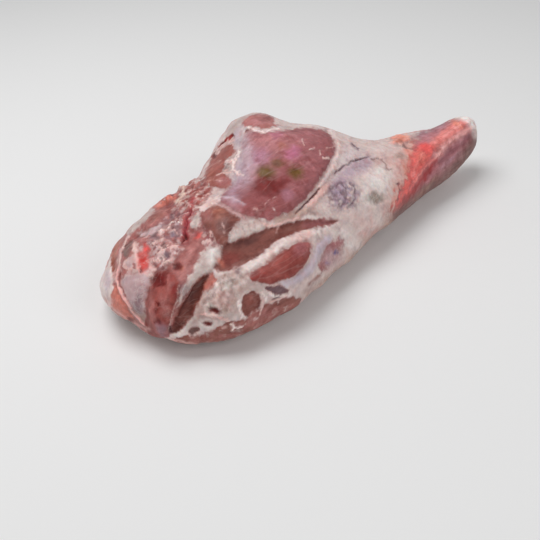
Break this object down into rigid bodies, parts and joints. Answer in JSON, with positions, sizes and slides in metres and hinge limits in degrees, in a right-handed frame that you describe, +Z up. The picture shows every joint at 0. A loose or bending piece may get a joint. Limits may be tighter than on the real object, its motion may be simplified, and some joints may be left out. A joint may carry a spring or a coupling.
{
  "type": "raw whole leg of lamb",
  "caption": "Raw whole leg of lamb, bone in, lying on its outer side: lean muscles, white fat and membrane on show, a rounded cut chump end and a slim raised shank.",
  "frame": {"origin": "middle of the bounding box, on the surface that the leg rests on", "axes": "+X from the chump end to the shank end, +Z up, -Y the side where the muscles part in strips"},
  "size_m": [0.4078, 0.1976, 0.1002],
  "materials": {
    "meat_and_fat": "moist raw meat, from brownish red to pink, under creamy white fat and lilac membrane"
  },
  "bodies": {
    "root": {"lamb_leg": "meat_and_fat"}
  },
  "joints": []
}
